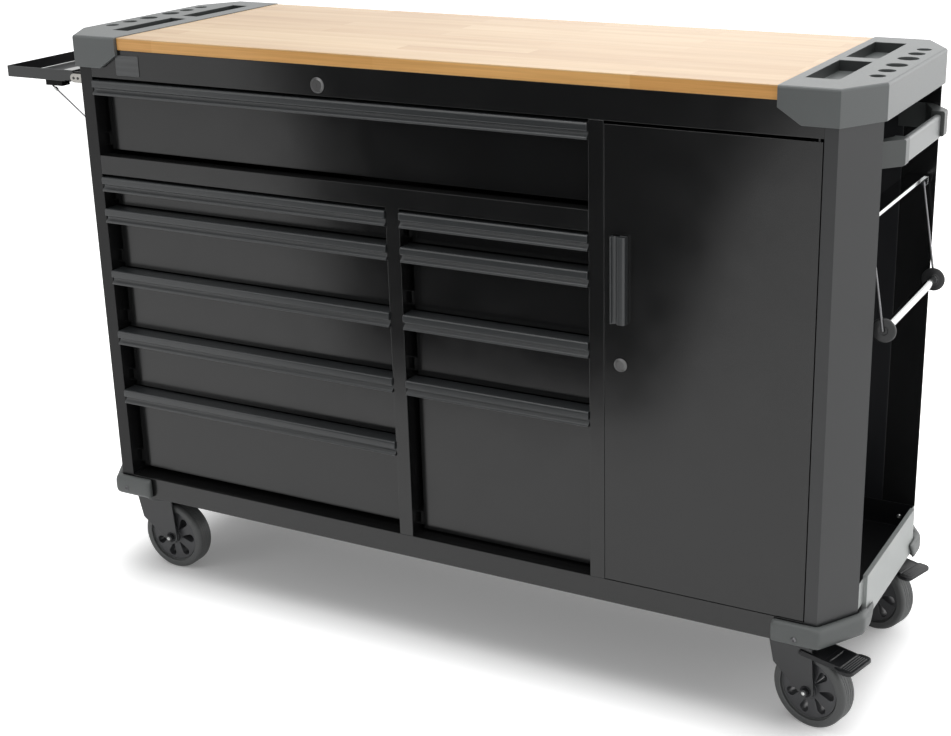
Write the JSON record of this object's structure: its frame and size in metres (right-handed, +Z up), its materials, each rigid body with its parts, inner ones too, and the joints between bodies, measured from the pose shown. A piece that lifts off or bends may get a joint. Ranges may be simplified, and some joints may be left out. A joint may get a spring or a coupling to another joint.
{
  "type": "tool cart",
  "caption": "Rolling tool bench with drawers under a wooden top, a side cupboard, moulded end caps with tool holes, a fold-down shelf, a push handle and swivel casters",
  "frame": {"origin": "on the floor, under the middle of the bounding box", "axes": "+X along the front towards the push handle, +Y from the front to the back, +Z up"},
  "size_m": [1.6404, 0.4754, 0.995],
  "materials": {
    "body": "satin black powder coat",
    "niche": "black powder coat",
    "cap": "dark grey moulded plastic",
    "pull": "satin black drawn section",
    "wood": "oiled beech board",
    "wire": "bright plated",
    "fork": "zinc plated",
    "tyre": "black rubber",
    "black": "black moulded plastic"
  },
  "bodies": {
    "cabinet": {"left_side": "body", "right_front_column": "body", "right_rear_column": "body", "niche_panel": "niche", "back_panel": "body", "base_pan": "body", "top_frame": "body", "drawer_divider": "body", "door_divider": "body", "cabinet_shelf": "body", "wood_top": "wood", "left_cap": "cap", "right_cap": "cap", "push_handle_bar": "cap", "push_bracket_front": "cap", "push_bracket_rear": "cap", "roll_holder": "wire", "side_tray": "niche", "bumper_front_left": "cap", "bumper_rear_left": "cap", "bumper_front_right": "cap", "bumper_rear_right": "cap"},
    "drawer_top": {"drawer_top": "body", "drawer_top_pull": "pull"},
    "drawer_left_1": {"drawer_left_1": "body", "drawer_left_1_pull": "pull"},
    "drawer_left_2": {"drawer_left_2": "body", "drawer_left_2_pull": "pull"},
    "drawer_left_3": {"drawer_left_3": "body", "drawer_left_3_pull": "pull"},
    "drawer_left_4": {"drawer_left_4": "body", "drawer_left_4_pull": "pull"},
    "drawer_left_5": {"drawer_left_5": "body", "drawer_left_5_pull": "pull"},
    "drawer_right_1": {"drawer_right_1": "body", "drawer_right_1_pull": "pull"},
    "drawer_right_2": {"drawer_right_2": "body", "drawer_right_2_pull": "pull"},
    "drawer_right_3": {"drawer_right_3": "body", "drawer_right_3_pull": "pull"},
    "drawer_right_4": {"drawer_right_4": "body", "drawer_right_4_pull": "pull"},
    "door": {"door": "body", "door_pull": "pull"},
    "drawer_lock": {"drawer_lock": "wire"},
    "door_lock": {"door_lock": "wire"},
    "caster_fork_front_left": {"caster_fork_front_left": "fork"},
    "wheel_front_left": {"wheel_front_left": "tyre"},
    "caster_fork_front_right": {"caster_fork_front_right": "fork"},
    "wheel_front_right": {"wheel_front_right": "tyre"},
    "brake_pedal_front_right": {"brake_pedal_front_right": "black"},
    "caster_fork_rear_left": {"caster_fork_rear_left": "fork"},
    "wheel_rear_left": {"wheel_rear_left": "tyre"},
    "caster_fork_rear_right": {"caster_fork_rear_right": "fork"},
    "wheel_rear_right": {"wheel_rear_right": "tyre"},
    "brake_pedal_rear_right": {"brake_pedal_rear_right": "black"},
    "side_shelf": {"side_shelf": "body"},
    "shelf_stay": {"shelf_stay": "wire"},
    "bail": {"bail": "wire"},
    "roller": {"roller": "black"}
  },
  "joints": [
    {"name": "drawer_top_slide", "type": "slide", "parent": "cabinet", "child": "drawer_top", "axis": [0, -1, 0], "range_m": [0, 0.38]},
    {"name": "drawer_left_1_slide", "type": "slide", "parent": "cabinet", "child": "drawer_left_1", "axis": [0, -1, 0], "range_m": [0, 0.38]},
    {"name": "drawer_left_2_slide", "type": "slide", "parent": "cabinet", "child": "drawer_left_2", "axis": [0, -1, 0], "range_m": [0, 0.38]},
    {"name": "drawer_left_3_slide", "type": "slide", "parent": "cabinet", "child": "drawer_left_3", "axis": [0, -1, 0], "range_m": [0, 0.38]},
    {"name": "drawer_left_4_slide", "type": "slide", "parent": "cabinet", "child": "drawer_left_4", "axis": [0, -1, 0], "range_m": [0, 0.38]},
    {"name": "drawer_left_5_slide", "type": "slide", "parent": "cabinet", "child": "drawer_left_5", "axis": [0, -1, 0], "range_m": [0, 0.38]},
    {"name": "drawer_right_1_slide", "type": "slide", "parent": "cabinet", "child": "drawer_right_1", "axis": [0, -1, 0], "range_m": [0, 0.38]},
    {"name": "drawer_right_2_slide", "type": "slide", "parent": "cabinet", "child": "drawer_right_2", "axis": [0, -1, 0], "range_m": [0, 0.38]},
    {"name": "drawer_right_3_slide", "type": "slide", "parent": "cabinet", "child": "drawer_right_3", "axis": [0, -1, 0], "range_m": [0, 0.38]},
    {"name": "drawer_right_4_slide", "type": "slide", "parent": "cabinet", "child": "drawer_right_4", "axis": [0, -1, 0], "range_m": [0, 0.38]},
    {"name": "door_hinge", "type": "hinge", "parent": "cabinet", "child": "door", "pos_m": [0.72079, -0.2206, 0.5], "axis": [0, 0, 1], "range_deg": [0, 110]},
    {"name": "drawer_lock_turn", "type": "hinge", "parent": "cabinet", "child": "drawer_lock", "pos_m": [-0.09321, -0.2249, 0.942], "axis": [0, -1, 0], "range_deg": [0, 90]},
    {"name": "door_lock_turn", "type": "hinge", "parent": "door", "child": "door_lock", "pos_m": [0.42779, -0.2249, 0.556], "axis": [0, -1, 0], "range_deg": [0, 90]},
    {"name": "swivel_front_left", "type": "hinge", "parent": "cabinet", "child": "caster_fork_front_left", "pos_m": [-0.53521, -0.172, 0.14], "axis": [0, 0, 1], "continuous": true},
    {"name": "wheel_spin_front_left", "type": "hinge", "parent": "caster_fork_front_left", "child": "wheel_front_left", "pos_m": [-0.50522, -0.17148, 0.0635], "axis": [-0.0175, 0.9998, 0], "continuous": true},
    {"name": "swivel_front_right", "type": "hinge", "parent": "cabinet", "child": "caster_fork_front_right", "pos_m": [0.70479, -0.172, 0.14], "axis": [0, 0, 1], "continuous": true},
    {"name": "wheel_spin_front_right", "type": "hinge", "parent": "caster_fork_front_right", "child": "wheel_front_right", "pos_m": [0.7339, -0.17926, 0.0635], "axis": [0.2419, 0.9703, 0], "continuous": true},
    {"name": "brake_front_right", "type": "hinge", "parent": "caster_fork_front_right", "child": "brake_pedal_front_right", "pos_m": [0.72419, -0.17684, 0.1285], "axis": [0.2419, 0.9703, 0], "range_deg": [0, 7]},
    {"name": "swivel_rear_left", "type": "hinge", "parent": "cabinet", "child": "caster_fork_rear_left", "pos_m": [-0.53521, 0.172, 0.14], "axis": [0, 0, 1], "continuous": true},
    {"name": "wheel_spin_rear_left", "type": "hinge", "parent": "caster_fork_rear_left", "child": "wheel_rear_left", "pos_m": [-0.50781, 0.1842, 0.0635], "axis": [-0.4067, 0.9135, 0], "continuous": true},
    {"name": "swivel_rear_right", "type": "hinge", "parent": "cabinet", "child": "caster_fork_rear_right", "pos_m": [0.70479, 0.172, 0.14], "axis": [0, 0, 1], "continuous": true},
    {"name": "wheel_spin_rear_right", "type": "hinge", "parent": "caster_fork_rear_right", "child": "wheel_rear_right", "pos_m": [0.7334, 0.16298, 0.0635], "axis": [0.3007, 0.9537, 0], "continuous": true},
    {"name": "brake_rear_right", "type": "hinge", "parent": "caster_fork_rear_right", "child": "brake_pedal_rear_right", "pos_m": [0.72386, 0.16599, 0.1285], "axis": [0.3007, 0.9537, 0], "range_deg": [0, 7]},
    {"name": "shelf_fold", "type": "hinge", "parent": "cabinet", "child": "side_shelf", "pos_m": [-0.67221, 0, 0.907], "axis": [0, -1, 0], "range_deg": [0, 90]},
    {"name": "stay_fold", "type": "hinge", "parent": "cabinet", "child": "shelf_stay", "pos_m": [-0.62651, 0, 0.8115], "axis": [0, -1, 0], "range_deg": [0, 125]},
    {"name": "bail_swing", "type": "hinge", "parent": "cabinet", "child": "bail", "pos_m": [0.77479, 0, 0.789], "axis": [0, -1, 0], "range_deg": [-25, 70]},
    {"name": "roller_spin", "type": "hinge", "parent": "bail", "child": "roller", "pos_m": [0.80029, 0, 0.637], "axis": [0, 1, 0], "continuous": true}
  ],
  "couplings": [
    {"joint": "stay_fold", "follows": "shelf_fold", "ratio": 1.3885}
  ]
}
